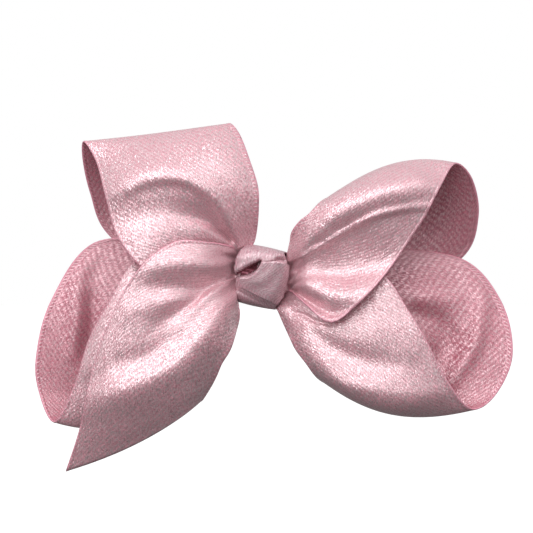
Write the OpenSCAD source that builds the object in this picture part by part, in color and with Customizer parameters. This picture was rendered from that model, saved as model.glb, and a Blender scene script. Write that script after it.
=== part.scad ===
// Boutique hair bow: one long satin ribbon twisted into four cone-shaped loops and two tails,
// gathered in the middle, bound with thread, finished with a hand-tied knot
// and glued to a sprung alligator clip.
// Frame: +X to the right seen from the front, +Z up, and the bow faces -Y.
// The origin is on the clip's gripping line, where it holds the hair, behind the knot.

/* [Ribbon] */
// Width of the ribbon
ribbon_w = 38; // [36:1:39]
// Thickness of the ribbon
ribbon_t = 0.45; // [0.35:0.05:0.5]

/* [Knot] */
// Height of the knot's front face
knot_h = 14.6; // [14.4:0.2:15.4]
// Width of the knot at its middle
knot_w = 12.4; // [12:0.2:13]
// Lean of the knot, clockwise from the front
knot_lean = 12; // [10:1:13]

/* [Clip] */
// Length of the clip's top lever
clip_l = 46; // [45:1:50]
// Width of the clip's jaws
clip_w = 7.6; // [7.4:0.2:8]
// Thickness of the clip's sheet steel
steel_t = 0.8; // [0.7:0.1:0.8]
// Diameter of the hinge pin
pin_d = 1.6; // [1.4:0.1:1.6]
// Clearance around the pin in the ears that turn on it
pin_gap = 0.05; // [0.03:0.01:0.08]

/* [Hidden] */

round_fn = 64;

// ---- Where the bow sits on the clip ----------------------------------------
// The sections below are written about the gather; the whole bow stands this far forward
bow_forward = 3;

// ---- The gather in the middle ----------------------------------------------
base_w = 38;
grow = ribbon_w / base_w;
gather_half_h = 5.2;
gather_half_w = 5.35;
gather_front = -9.6;
gather_back = -3;
strip_end_u = 5.3;
strip_exit_u = 7;
strip_pitch = 1.2;
thread_w = 3;
thread_t = 0.5;

// A point of the gather, u along the bow and w across the ribbon, leaning with the knot
function leaning(u, y, w) = [
    u * cos(knot_lean) + w * sin(knot_lean),
    y,
    w * cos(knot_lean) - u * sin(knot_lean)
];

// Depth of the strip that lies in the given place of the stack, counted from the back
function stack_y(place) = -4.2 - strip_pitch * place;

// The two sections in which a strip lies inside the knot. side is -1 for the left and 1 for
// the right, and up is 1 if the outer selvedge enters at the top, -1 if at the bottom.
function entering(side, place, up) = [
    for (u = [strip_end_u, strip_exit_u])
        [for (w = [up, 0, -up]) leaning(side * u, stack_y(place), w * gather_half_h)]
];
function leaving(side, place, up) = [
    for (u = [strip_exit_u, strip_end_u])
        [for (w = [up, 0, -up]) leaning(side * u, stack_y(place), w * gather_half_h)]
];

// ---- Ribbon strips ---------------------------------------------------------
// A strip is a list of sections along the ribbon. A section holds three points: the outer
// selvedge, the middle of the width, and the inner selvedge, which is next to the knot.
steps_along = 2;
cells_across = 6;

upper_left = concat(entering(-1, 3, -1), [
    [[-14, -13.8, -3], [-11.5, -12.3, 4.5], [-6, -9.5, 9.5]],
    [[-22, -19.4, 0], [-14.6, -16.6, 9.4], [-1.2, -12.6, 12]],
    [[-29, -20.2, 2.5], [-18.6, -19.2, 14.4], [-0.8, -15, 16.8]],
    [[-35, -18.2, 10], [-21, -20.0, 20], [-1, -15.6, 22]],
    [[-38, -15.4, 20], [-24, -19.0, 26.4], [-3, -14.4, 28.5]],
    [[-40.5, -10.5, 28], [-25.5, -13.8, 32.4], [-5.5, -11, 35]],
    [[-44, -7, 33.3], [-26, -8, 35.2], [-8, -7.6, 37.7]],
    [[-44.5, -3.5, 29], [-26, -1, 32], [-8.5, 0, 33]],
    [[-43, 0.5, 21], [-24, 2, 22], [-6, 3, 24]],
    [[-39, 3, 11], [-20, 0.5, 12], [-5, 0, 15]],
    [[-25, -1.4, 0], [-14, -3.4, 5], [-6, -3.4, 10]],
    [[-14, -4, -2.5], [-10, -4.2, 3], [-6, -4.2, 8]]
], leaving(-1, 0, -1));

lower_left = concat(entering(-1, 2, 1), [
    [[-15, -8.6, 7], [-14, -10, -2], [-8, -9.2, -10]],
    [[-24, -12, 6], [-20, -14.5, -6], [-7.6, -11.5, -14]],
    [[-31.4, -14, 3.5], [-25, -17.5, -11], [-11, -13.5, -19]],
    [[-37, -14.5, -6], [-29, -18, -18], [-12, -13.5, -22]],
    [[-42, -13.5, -15], [-32, -17, -26], [-13, -12, -25]],
    [[-46, -12, -27], [-33, -14, -33], [-14, -10, -27]],
    [[-51, -9.4, -35.4], [-34, -8.4, -36.2], [-15, -6, -27]],
    [[-55, -5.4, -29], [-36, -3, -31], [-15, -2, -23]],
    [[-56, -4.6, -20], [-36, -2.2, -22], [-13, -1.6, -18]],
    [[-52.5, -2.6, -6], [-31, -3.4, -10], [-11, -3.6, -13]],
    [[-42, 1, 8.5], [-22, -4.4, -2], [-9, -5, -9]],
    [[-22, -5.4, 9], [-14, -5.4, 0], [-8, -5.4, -7]],
    [[-12, -5.4, 8.2], [-10, -5.4, 1], [-8, -5.4, -5]]
], leaving(-1, 1, 1));

front_tail = concat(entering(-1, 4, 1), [
    [[-8, -13.6, 7.6], [-9.5, -13.5, 0.5], [-8, -11, -7]],
    [[-13, -17.8, 8.5], [-13, -17.6, -2], [-6.2, -15.5, -13]],
    [[-21, -20.4, 8.5], [-20, -21.2, -7], [-7.6, -18.6, -17.5]],
    [[-29.5, -21.5, 2], [-25, -22, -13], [-9.7, -19.4, -21]],
    [[-36, -20.8, -9], [-28.5, -21.8, -21], [-10.9, -18.6, -23.8]],
    [[-40.5, -19, -21], [-30, -20.6, -29], [-12, -17.4, -26]],
    [[-44, -15.5, -36], [-30, -18, -35], [-13.2, -16.2, -28]],
    [[-48, -11, -47.5], [-29.2, -14.4, -39.8], [-14.4, -15, -29.8]]
]);

upper_right = concat(entering(1, 4, -1), [
    [[11, -15.5, -8.5], [11, -16, 2], [6.5, -12, 8.5]],
    [[16.4, -20, -10.9], [18, -19.4, 5], [7.2, -14, 11]],
    [[23.4, -22, -6], [22, -20, 9], [9, -16, 13.5]],
    [[30, -21.4, 1], [25, -20.4, 13], [11, -16.8, 15]],
    [[35, -20.4, 8], [28, -20, 18], [12.5, -17, 16.5]],
    [[39.5, -19, 15], [30, -18.4, 22.5], [14, -15.6, 18]],
    [[43.5, -16, 22.5], [31.5, -14.4, 26.5], [15, -12.5, 18.5]],
    [[47.5, -10.8, 27.7], [32, -9.4, 27.2], [15, -7.5, 17.5]],
    [[52, -6, 24], [33, -4, 22], [14.5, -5, 14]],
    [[54, -0.5, 15], [33, -0.5, 13], [13, -4.2, 10]],
    [[50.5, 3.6, 5], [29, -1, 4], [12, -4.2, 7]],
    [[35, 1, -4], [19, -3.6, 0], [9, -4.2, 6]],
    [[19, -3.6, -6.5], [13, -4.2, -0.5], [7.5, -4.2, 5.2]]
], leaving(1, 0, -1));

lower_right = concat(entering(1, 3, 1), [
    [[14, -10.5, 6], [12.5, -12, -4], [7.5, -10, -9.3]],
    [[23, -14.2, 4], [18, -16.6, -9], [6.4, -13.5, -14]],
    [[30, -17, 0], [23, -18.2, -14], [8.2, -15.4, -17.7]],
    [[35, -18, -7.5], [27, -19, -20], [10.7, -16.5, -21]],
    [[39.5, -18.5, -15], [30, -19.4, -26.5], [12.5, -15.5, -23.5]],
    [[44.5, -17, -24.5], [32, -17, -32], [14, -12, -25]],
    [[51, -12, -32], [33, -10, -33.5], [15, -7, -25]],
    [[57.5, -7.6, -29], [36, -6.6, -29], [15, -5, -21.5]],
    [[62, -5, -19], [38, -5.4, -20], [14, -4.5, -17]],
    [[59.5, -1.4, -6], [34, -5.8, -10], [12, -5.6, -11]],
    [[50, 2, 4.5], [25, -4.8, -2], [9, -6, -8.5]],
    [[30, -5.4, 7], [16, -6.4, 0], [9, -6.4, -7]],
    [[16, -6.5, 6], [11, -6.6, -0.5], [8, -6.6, -6.5]]
], leaving(1, 2, 1));

back_tail = concat(entering(1, -0.5, -1), [
    [[14, -2, -9.5], [14, -2.4, 0.5], [12, -2.6, 9]],
    [[23, 0.5, -12.5], [24, 0, 2.5], [21, -1, 15]],
    [[33, 4, -12], [34, 4, 5], [31, 3.5, 20]],
    [[37, 6, -11], [42, 7, 5], [45, 6.5, 21]]
]);

// Cubic through a section, pulled by its neighbours
function blend(a, b, c, d, f) =
    0.5 * (2 * b + (c - a) * f + (2 * a - 5 * b + 4 * c - d) * f * f
    + (3 * b - a - 3 * c + d) * f * f * f);
// The section before the first and after the last are mirrored through the ends
function section(s, i) =
    i < 0 ? 2 * s[0] - s[1] : i >= len(s) ? 2 * s[len(s) - 1] - s[len(s) - 2] : s[i];
function section_at(s, k) =
    let (i = min(floor(k / steps_along), len(s) - 2), f = k / steps_along - i)
    blend(section(s, i - 1), s[i], s[i + 1], section(s, i + 2), f);
// A quadratic arc across the width through the section's three points
function across(q, v) = q[0] * (1 - v) * (1 - 2 * v) + q[1] * 4 * v * (1 - v) + q[2] * v * (2 * v - 1);
function unit(v) = v / norm(v);

// Middle surface of a strip: rows of points
function middle_surface(s) = [
    for (k = [0:(len(s) - 1) * steps_along])
        let (q = section_at(s, k)) [for (j = [0:cells_across]) grow * across(q, j / cells_across)]
];
// Direction across the thickness at a point of the surface
function thickness_way(g, k, j) = unit(cross(
    g[min(k + 1, len(g) - 1)][j] - g[max(k - 1, 0)][j],
    g[k][min(j + 1, cells_across)] - g[k][max(j - 1, 0)]
));
function skin(g, side) = [
    for (k = [0:len(g) - 1]) for (j = [0:cells_across])
        g[k][j] + side * ribbon_t / 2 * thickness_way(g, k, j)
];

// One strip of ribbon as a closed solid of constant thickness
module strip(sections) {
    g = middle_surface(sections);
    rows = len(g);
    wide = cells_across + 1;
    under = rows * wide;
    top_faces = [
        for (k = [0:rows - 2]) for (j = [0:cells_across - 1])
            let (a = k * wide + j, b = a + wide) each [[a, a + 1, b + 1], [a, b + 1, b]]
    ];
    under_faces = [for (f = top_faces) [f[2] + under, f[1] + under, f[0] + under]];
    side_faces = [
        for (k = [0:rows - 2]) for (j = [0, cells_across])
            let (a = k * wide + j, b = a + wide)
            each j == 0
                ? [[a, b, b + under], [a, b + under, a + under]]
                : [[b, a, a + under], [b, a + under, b + under]]
    ];
    end_faces = [
        for (k = [0, rows - 1]) for (j = [0:cells_across - 1])
            let (a = k * wide + j, b = a + 1)
            each k == 0
                ? [[b, a, a + under], [b, a + under, b + under]]
                : [[a, b, b + under], [a, b + under, a + under]]
    ];
    translate([0, -bow_forward, 0])
    polyhedron(
        points = concat(skin(g, 1), skin(g, -1)),
        faces = concat(top_faces, under_faces, side_faces, end_faces),
        convexity = 8
    );
}

module loop_upper_left() { color("#dcaab6") strip(upper_left); }
module loop_lower_left() { color("#c08e9b") strip(lower_left); }
module loop_upper_right() { color("#d3a0ac") strip(upper_right); }
module loop_lower_right() { color("#c58f9d") strip(lower_right); }
module tail_front() { color("#cf9dab") strip(front_tail); }
module tail_back() { color("#b58491") strip(back_tail); }

// ---- Middle of the bow -----------------------------------------------------
// Places its children about the middle of the gather, leaning with the knot
module at_gather() {
    translate([0, -bow_forward, 0]) rotate([0, knot_lean, 0]) children();
}

// A block along u with its four long edges rounded
module rounded_block(half_u, front, back, half_w, r) {
    rotate([90, 0, 90])
    linear_extrude(2 * half_u, center = true)
    rounded_face(front, back, half_w, r);
}

// Depth runs along the first axis of the face and height along the second
module rounded_face(front, back, half_w, r) {
    union() {
        translate([front + r, -half_w]) square([back - front - 2 * r, 2 * half_w]);
        translate([front, -half_w + r]) square([back - front, 2 * half_w - 2 * r]);
        for (y = [front + r, back - r], z = [r - half_w, half_w - r])
            translate([y, z]) circle(r, $fn = round_fn);
    }
}

// The five layers of ribbon that cross under the knot, pressed together
module gathered_centre() {
    color("#b98896")
    at_gather() rounded_block(gather_half_w, gather_front, gather_back, gather_half_h + 0.2, 1);
}

// Thread wound round the gather
module binding_thread() {
    color("#e6d6da")
    at_gather()
    difference() {
        rounded_block(thread_w / 2, gather_front - thread_t, gather_back + thread_t,
            gather_half_h + 0.2 + thread_t, 1.5);
        rounded_block(thread_w, gather_front, gather_back, gather_half_h + 0.2, 1);
    }
}

// ---- Knot ------------------------------------------------------------------
knot_gap = 0.2;
band_front = -11.9;
band_back = -1.2;
knot_bulge = 1.1;
fold_t = 0.9;
// Radius of the arcs that make the knot wider at its middle than at its top
bulge_r = (knot_h * knot_h / 4 + knot_bulge * knot_bulge) / (2 * knot_bulge);

// The band that wraps the gather, seen from the front as a barrel
module knot_band() {
    color("#e2b6c1")
    at_gather()
    intersection() {
        difference() {
            rounded_block(knot_w / 2, band_front, band_back, knot_h / 2, 2.4);
            rounded_block(knot_w, gather_front - thread_t - knot_gap,
                gather_back + thread_t + knot_gap, gather_half_h + 0.2 + thread_t + knot_gap, 1.5);
        }
        barrel();
    }
}

module barrel() {
    intersection() {
        barrel_side(-1);
        barrel_side(1);
    }
}

module barrel_side(side) {
    translate([side * (bulge_r - knot_w / 2), 0, 0])
    rotate([90, 0, 0])
    cylinder(h = 2 * knot_h, r = bulge_r, center = true, $fn = 4 * round_fn);
}

// The end of the knot's ribbon, crossing its front from upper right to lower left
fold_outline = [
    [-0.6, 3.4], [4.7, 4.7], [5.8, 4], [6, 0], [5.9, -2.5], [5, -5.9],
    [-0.6, -4.7], [-4.4, -3.9], [-5.6, -2.2], [-3.6, -1.1], [-1.4, 1.5]
];

module knot_fold() {
    color("#cfa3ae")
    at_gather()
    translate([0, band_front, 0])
    rotate([90, 0, 0])
    linear_extrude(fold_t) polygon(fold_outline);
}

// ---- Fixing the bow to the clip --------------------------------------------
grip_gap = 0.2;
lining_t = 0.4;
lever_front = -grip_gap - steel_t;
lining_front = lever_front - lining_t;
glue_half_l = 6;
glue_half_h = 3.4;

module glue_pad() {
    color("#efe9dc")
    rounded_block(glue_half_l, band_back - bow_forward, lining_front, glue_half_h, 0.8);
}

// ---- Clip ------------------------------------------------------------------
tip_x = -22;
jaw_half = clip_w / 2;
pin_x = 8.5;
pin_y = 2;
pin_r = pin_d / 2;
bore_r = pin_r + pin_gap;
lever_ear_r = 2;
jaw_ear_r = 1.8;
ear_gap = 0.2;
inner_half = jaw_half - steel_t - ear_gap;
// The jaw bends away from the lever here, at this angle, and runs on as its handle
bend_x = 0;
handle_angle = 25;
handle_l = 24;
shoulder_l = 3;
finger_l = 10;
tooth_h = 0.15;
tooth_n = 5;
tooth_pitch = 1.2;
rivet_r = 1.25;
rivet_t = 0.35;
// The pin's place seen from the bend, along the handle and across it
pin_along = (pin_x - bend_x) * cos(handle_angle) + (pin_y - grip_gap) * sin(handle_angle);
pin_across = (pin_y - grip_gap) * cos(handle_angle) - (pin_x - bend_x) * sin(handle_angle);

// Ribbon glued along the lever's outer face
module clip_lining() {
    color("#d9a9b5")
    translate([tip_x, lining_front, -jaw_half])
    cube([clip_l, lining_t, clip_w]);
}

// Side view of an ear that runs from height from_y to a round end about the point at
module ear_face(at, from_y, r) {
    union() {
        translate([at.x - r, min(at.y, from_y)]) square([2 * r, abs(at.y - from_y)]);
        translate(at) circle(r, $fn = round_fn);
    }
}

// A pair of ears, each one sheet thick, whose outer faces stand at the given half width
module ears(at, from_y, r, half) {
    for (side = [-1, 1])
        translate([0, 0, side * (half - steel_t / 2)])
        linear_extrude(steel_t, center = true) ear_face(at, from_y, r);
}

module pin_bore(r) {
    translate([pin_x, pin_y, 0]) cylinder(h = 2 * clip_w, r = r, center = true, $fn = round_fn);
}

// A strip of sheet steel lying along X from x0 to x1, centred on Z
module sheet(x0, x1, half) {
    translate([x0, 0, -half]) cube([x1 - x0, steel_t, 2 * half]);
}

// One tooth, seen from the side, hanging from the jaw's inner face
tooth_face = [
    [0, steel_t], [tooth_pitch, steel_t], [tooth_pitch, 0], [tooth_pitch / 2, -tooth_h], [0, 0]
];

// Teeth along both edges of the jaw's tip
module teeth() {
    for (side = [-1, 1], i = [0:tooth_n - 1])
        translate([tip_x + i * tooth_pitch, 0, side * (jaw_half - steel_t / 2)])
        linear_extrude(steel_t, center = true) polygon(tooth_face);
}

module clip_top_lever() {
    color("#c9ccd0")
    difference() {
        union() {
            translate([0, lever_front, 0]) sheet(tip_x, tip_x + clip_l, jaw_half);
            ears([pin_x, pin_y], lever_front, lever_ear_r, jaw_half);
        }
        pin_bore(pin_r);
    }
}

module clip_lower_jaw() {
    color("#c4c7cc")
    difference() {
        translate([0, grip_gap, 0]) jaw_sheet();
        pin_bore(bore_r);
    }
}

module jaw_sheet() {
    union() {
        sheet(tip_x, bend_x, jaw_half);
        teeth();
        translate([bend_x, 0, 0]) rotate([0, 0, handle_angle]) jaw_handle();
    }
}

// The handle leaves room for the lever's ears beside the pin, and widens for the finger
module jaw_handle() {
    union() {
        sheet(0, handle_l, inner_half);
        sheet(0, shoulder_l, jaw_half);
        sheet(handle_l - finger_l, handle_l, jaw_half);
        translate([0, steel_t, 0])
        cylinder(h = clip_w, r = steel_t, center = true, $fn = round_fn);
        translate([handle_l, steel_t, 0])
        cylinder(h = clip_w, r = steel_t, center = true, $fn = round_fn);
        ears([pin_along, pin_across], 0, jaw_ear_r, inner_half);
    }
}

module clip_pin() {
    color("#9fa3a8")
    translate([pin_x, pin_y, 0])
    union() {
        cylinder(h = clip_w + 2 * rivet_t, r = pin_r, center = true, $fn = round_fn);
        for (side = [-1, 1])
            translate([0, 0, side * (jaw_half + rivet_t / 2)])
            cylinder(h = rivet_t, r = rivet_r, center = true, $fn = round_fn);
    }
}

// ---- Spring ----------------------------------------------------------------
wire_r = 0.22;
coil_r = pin_r + 0.1 + wire_r;
coil_half = 1.3;
full_turns = 3;
turn_steps = 12;
wire_sides = 8;
leg_l = 8;
rest_gap = 0.03;

// The wire runs in along the lever, turns round the pin, and runs out along the handle
lever_leg_y = -grip_gap + wire_r + rest_gap;
handle_leg_gap = -pin_across - wire_r - rest_gap;
leg_way = [cos(handle_angle), sin(handle_angle), 0];
leg_side = [-sin(handle_angle), cos(handle_angle), 0];
coil_from = -90;
coil_sweep = -(360 * full_turns + 180 - handle_angle);
coil_n = round(-coil_sweep * turn_steps / 360);
spring_path = concat(
    [[pin_x + leg_l, lever_leg_y, -coil_half], [pin_x + 2, lever_leg_y + 0.4, -coil_half]],
    [
        for (i = [0:coil_n])
            let (a = coil_from + coil_sweep * i / coil_n)
            [pin_x + coil_r * cos(a), pin_y + coil_r * sin(a), coil_half * (2 * i / coil_n - 1)]
    ],
    [
        [pin_x, pin_y, coil_half] + 2 * leg_way + (coil_r + 0.2) * leg_side,
        [pin_x, pin_y, coil_half] + leg_l * leg_way + handle_leg_gap * leg_side
    ]
);

function along(p, i) = unit(p[min(i + 1, len(p) - 1)] - p[max(i - 1, 0)]);
function wire_ring(p, i) =
    let (t = along(p, i), a = unit(cross(t, [0, 0, 1])), b = cross(t, a))
    [for (k = [0:wire_sides - 1])
        p[i] + wire_r * (cos(360 * k / wire_sides) * a + sin(360 * k / wire_sides) * b)];

module clip_spring() {
    n = len(spring_path);
    side_faces = [
        for (i = [0:n - 2]) for (k = [0:wire_sides - 1])
            let (a = i * wire_sides + k, b = i * wire_sides + (k + 1) % wire_sides)
            each [[a, b, b + wire_sides], [a, b + wire_sides, a + wire_sides]]
    ];
    start_face = [[for (k = [wire_sides - 1:-1:0]) k]];
    end_face = [[for (k = [0:wire_sides - 1]) (n - 1) * wire_sides + k]];
    color("#8f9296")
    polyhedron(
        points = [for (i = [0:n - 1]) each wire_ring(spring_path, i)],
        faces = concat(side_faces, start_face, end_face),
        convexity = 10
    );
}

loop_upper_left();
loop_lower_left();
loop_upper_right();
loop_lower_right();
tail_front();
tail_back();
gathered_centre();
binding_thread();
knot_band();
knot_fold();
glue_pad();
clip_lining();
clip_top_lever();
clip_lower_jaw();
clip_pin();
clip_spring();
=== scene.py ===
"""Hair bow: shimmer ribbon, knot, thread, glue and alligator clip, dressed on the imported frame."""
import math

import bpy
import numpy as np
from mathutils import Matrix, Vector


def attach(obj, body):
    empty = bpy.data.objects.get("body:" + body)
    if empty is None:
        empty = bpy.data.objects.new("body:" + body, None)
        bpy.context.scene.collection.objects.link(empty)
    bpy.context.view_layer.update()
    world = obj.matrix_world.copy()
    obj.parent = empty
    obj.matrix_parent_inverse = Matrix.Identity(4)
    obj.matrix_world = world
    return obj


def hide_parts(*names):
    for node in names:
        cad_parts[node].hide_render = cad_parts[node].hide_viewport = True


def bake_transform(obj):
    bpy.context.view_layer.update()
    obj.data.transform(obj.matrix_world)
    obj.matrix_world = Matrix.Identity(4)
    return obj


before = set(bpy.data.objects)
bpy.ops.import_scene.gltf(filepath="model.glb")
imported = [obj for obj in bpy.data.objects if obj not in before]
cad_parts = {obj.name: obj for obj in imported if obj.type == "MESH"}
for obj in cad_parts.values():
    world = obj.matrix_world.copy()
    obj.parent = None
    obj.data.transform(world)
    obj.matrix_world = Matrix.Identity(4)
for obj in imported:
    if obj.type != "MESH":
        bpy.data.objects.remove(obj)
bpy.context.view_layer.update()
MM = 0.001

# ---- Camera ------------------------------------------------------------------
# The view is straight at the knot's front, from about half a metre, with a long lens
CAMERA_MM = (1.1, -533.0, 2.57)
SENSOR_MM = 36.0
LENS_MM = 143.4
CLIP_START = 0.01


def make_camera():
    data = bpy.data.cameras.new("camera")
    data.lens = LENS_MM
    data.sensor_width = SENSOR_MM
    data.clip_start = CLIP_START
    camera = bpy.data.objects.new("camera", data)
    bpy.context.collection.objects.link(camera)
    camera.location = Vector(CAMERA_MM) * MM
    camera.rotation_euler = (math.radians(90), 0, 0)
    bpy.context.scene.camera = camera


# ---- The gather, as part.scad has it, apart from the corner --------------------------
# The corner is where a visible strip's inner selvedge leaves the knot
BOW_FORWARD = 3.0
KNOT_LEAN = math.radians(12)
RIBBON_W = 38.0
GATHER_HALF_H = 5.2
STRIP_END_U = 5.3
STRIP_EXIT_U = 7.0
CORNER_U = 4.9
CORNER_W = 6.4
STACK_Y = -4.2
STACK_STEP = 1.2


def leaning(u, y, w):
    """A point in mm, u along the bow and w across the ribbon, in the knot's leaning frame."""
    c, s = math.cos(KNOT_LEAN), math.sin(KNOT_LEAN)
    return (u * c + w * s, y, w * c - u * s)


def stack_y(place):
    """How far forward a layer of the gather lies, counted from the back."""
    return STACK_Y - STACK_STEP * place


def inside_knot(side, place, up, leaving=False, outer_w=GATHER_HALF_H):
    """The sections in which a strip lies under the knot, from the middle outwards. Its inner
    selvedge comes out at the knot's corner."""
    y = stack_y(place)
    rows = [
        [leaning(side * STRIP_END_U, y, w * GATHER_HALF_H) for w in (up, 0, -up)],
        [leaning(side * STRIP_EXIT_U, y, up * outer_w), leaning(side * STRIP_EXIT_U, y, 0),
         leaning(side * CORNER_U, y, -up * CORNER_W)],
    ]
    return rows[::-1] if leaving else rows


# ---- Ribbon strips: sections of (outer selvedge, middle, inner selvedge), in mm --------
# They are part.scad's, apart from nine near the knot, which are up to 4.1 mm away from it
UPPER_LEFT = inside_knot(-1, 3, -1) + [
    [(-14, -13.8, -3), (-11, -12.3, 4.5), (-2.0, -9.6, 8.6)],
    [(-22, -19.4, 0), (-14.6, -16.6, 9.4), (-1.2, -12.6, 12)],
    [(-29, -20.2, 2.5), (-18.6, -19.2, 14.4), (-0.8, -15, 16.8)],
    [(-35, -18.2, 10), (-21, -20.0, 20), (-1, -15.6, 22)],
    [(-38, -15.4, 20), (-24, -19.0, 26.4), (-3, -14.4, 28.5)],
    [(-40.5, -10.5, 28), (-25.5, -13.8, 32.4), (-5.5, -11, 35)],
    [(-44, -7, 33.3), (-26, -8, 35.2), (-8, -7.6, 37.7)],
    [(-44.5, -3.5, 29), (-26, -1, 32), (-8.5, 0, 33)],
    [(-43, 0.5, 21), (-24, 2, 22), (-6, 3, 24)],
    [(-39, 3, 11), (-20, 0.5, 12), (-5, 0, 15)],
    [(-25, -1.4, 0), (-14, -3.4, 5), (-6, -3.4, 10)],
    [(-14, -4, -2.5), (-10, -4.2, 3), (-6, -4.2, 8)],
] + inside_knot(-1, 0, -1, leaving=True)

LOWER_LEFT = inside_knot(-1, 2, 1) + [
    [(-15, -8.6, 7), (-14, -10, -2), (-5.8, -8.4, -9.4)],
    [(-24, -12, 6), (-20, -14.5, -6), (-7.6, -11.5, -14)],
    [(-31.4, -14, 3.5), (-25, -17.5, -11), (-11, -13.5, -19)],
    [(-37, -14.5, -6), (-29, -18, -18), (-12, -13.5, -22)],
    [(-42, -13.5, -15), (-32, -17, -26), (-13, -12, -25)],
    [(-46, -12, -27), (-33, -14, -33), (-14, -10, -27)],
    [(-51, -9.4, -35.4), (-34, -8.4, -36.2), (-15, -6, -27)],
    [(-55, -5.4, -29), (-36, -3, -31), (-15, -2, -23)],
    [(-56, -4.6, -20), (-36, -2.2, -22), (-13, -1.6, -18)],
    [(-52.5, -2.6, -6), (-31, -3.4, -10), (-11, -3.6, -13)],
    [(-42, 1, 8.5), (-22, -4.4, -2), (-9, -5, -9)],
    [(-22, -5.4, 9), (-14, -5.4, 0), (-7.6, -5.4, -8)],
    [(-12, -5.4, 8.2), (-10, -5.4, 1), (-6.4, -5.4, -6.6)],
] + inside_knot(-1, 1, 1, leaving=True)

FRONT_TAIL = inside_knot(-1, 4, 1) + [
    [(-8, -13.6, 7.6), (-9.5, -13.5, 0.5), (-5.4, -11.5, -9)],
    [(-13, -17.8, 8.5), (-13, -17.6, -2), (-6.2, -15.5, -13)],
    [(-21, -20.4, 8.5), (-20, -21.2, -7), (-7.6, -18.6, -17.5)],
    [(-29.5, -21.5, 2), (-25, -22, -13), (-9.7, -19.4, -21)],
    [(-36, -20.8, -9), (-28.5, -21.8, -21), (-10.9, -18.6, -23.8)],
    [(-40.5, -19, -21), (-30, -20.6, -29), (-12, -17.4, -26)],
    [(-44, -15.5, -36), (-30, -18, -35), (-13.2, -16.2, -28)],
    [(-48, -11, -47.5), (-29.2, -14.4, -39.8), (-14.4, -15, -29.8)],
]

UPPER_RIGHT = inside_knot(1, 4, -1, outer_w=2.2) + [
    [(9.6, -15.2, -5.8), (11, -16, 2), (6.8, -11.6, 8.6)],
    [(16.4, -20, -10.9), (18, -19.4, 5), (7.2, -14, 11)],
    [(23.4, -22, -6), (22, -20, 9), (9, -16, 13.5)],
    [(30, -21.4, 1), (25, -20.4, 13), (11, -16.8, 15)],
    [(35, -20.4, 8), (28, -20, 18), (12.5, -17, 16.5)],
    [(39.5, -19, 15), (30, -18.4, 22.5), (14, -15.6, 18)],
    [(43.5, -16, 22.5), (31.5, -14.4, 26.5), (15, -12.5, 18.5)],
    [(47.5, -10.8, 27.7), (32, -9.4, 27.2), (15, -7.5, 17.5)],
    [(52, -6, 24), (33, -4, 22), (14.5, -5, 14)],
    [(54, -0.5, 15), (33, -0.5, 13), (13, -4.2, 10)],
    [(50.5, 3.6, 5), (29, -1, 4), (12, -4.2, 7)],
    [(35, 1, -4), (19, -3.6, 0), (9, -4.2, 6)],
    [(19, -3.6, -6.5), (13, -4.2, -0.5), (7.5, -4.2, 5.2)],
] + inside_knot(1, 0, -1, leaving=True)

LOWER_RIGHT = inside_knot(1, 3, 1) + [
    [(14, -10.5, 6), (12.5, -13, -4), (4.2, -9.8, -9.2)],
    [(23, -14.2, 4), (18, -16.6, -9), (6.4, -13.5, -14)],
    [(30, -17, 0), (23, -18.2, -14), (8.2, -15.4, -17.7)],
    [(35, -18, -7.5), (27, -19, -20), (10.7, -16.5, -21)],
    [(39.5, -18.5, -15), (30, -19.4, -26.5), (12.5, -15.5, -23.5)],
    [(44.5, -17, -24.5), (32, -17, -32), (14, -12, -25)],
    [(51, -12, -32), (33, -10, -33.5), (15, -7, -25)],
    [(57.5, -7.6, -29), (36, -6.6, -29), (15, -5, -21.5)],
    [(62, -5, -19), (38, -5.4, -20), (14, -4.5, -17)],
    [(59.5, -1.4, -6), (34, -5.8, -10), (12, -5.6, -11)],
    [(50, 2, 4.5), (25, -4.8, -2), (9, -6, -8.5)],
    [(30, -1.8, 7), (16, -6.6, 0), (7, -6.4, -7.6)],
    [(16, -5.6, 6), (11, -6.6, -0.5), (5.6, -6.6, -7)],
] + inside_knot(1, 2, 1, leaving=True)

BACK_TAIL = inside_knot(1, -0.5, -1) + [
    [(14, -2, -9.5), (14, -2.4, 0.5), (12, -2.6, 9)],
    [(23, 0.5, -12.5), (24, 0, 2.5), (21, -1, 15)],
    [(33, 4, -12), (34, 4, 5), (31, 3.5, 20)],
    [(37, 6, -11), (42, 7, 5), (45, 6.5, 21)],
]
# How far the front layer's inner selvedge curls back, in mm
CURL = {
    "ribbon_upper_left": 2.0,
    "ribbon_lower_left": 3.5,
    "ribbon_front_tail": 5.0,
    "ribbon_upper_right": 0.8,
    "ribbon_lower_right": 4.0,
}
# Where across the ribbon the curl starts, and over how many rows of sections it grows
CURL_FROM = 0.8
CURL_ROWS = 1.5
# How high the pleats stand at a strip's two ends
PLEAT_LIFT = {"ribbon_back_tail": (1.8, 0)}
USUAL_LIFT = (0.35, 1)

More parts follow.
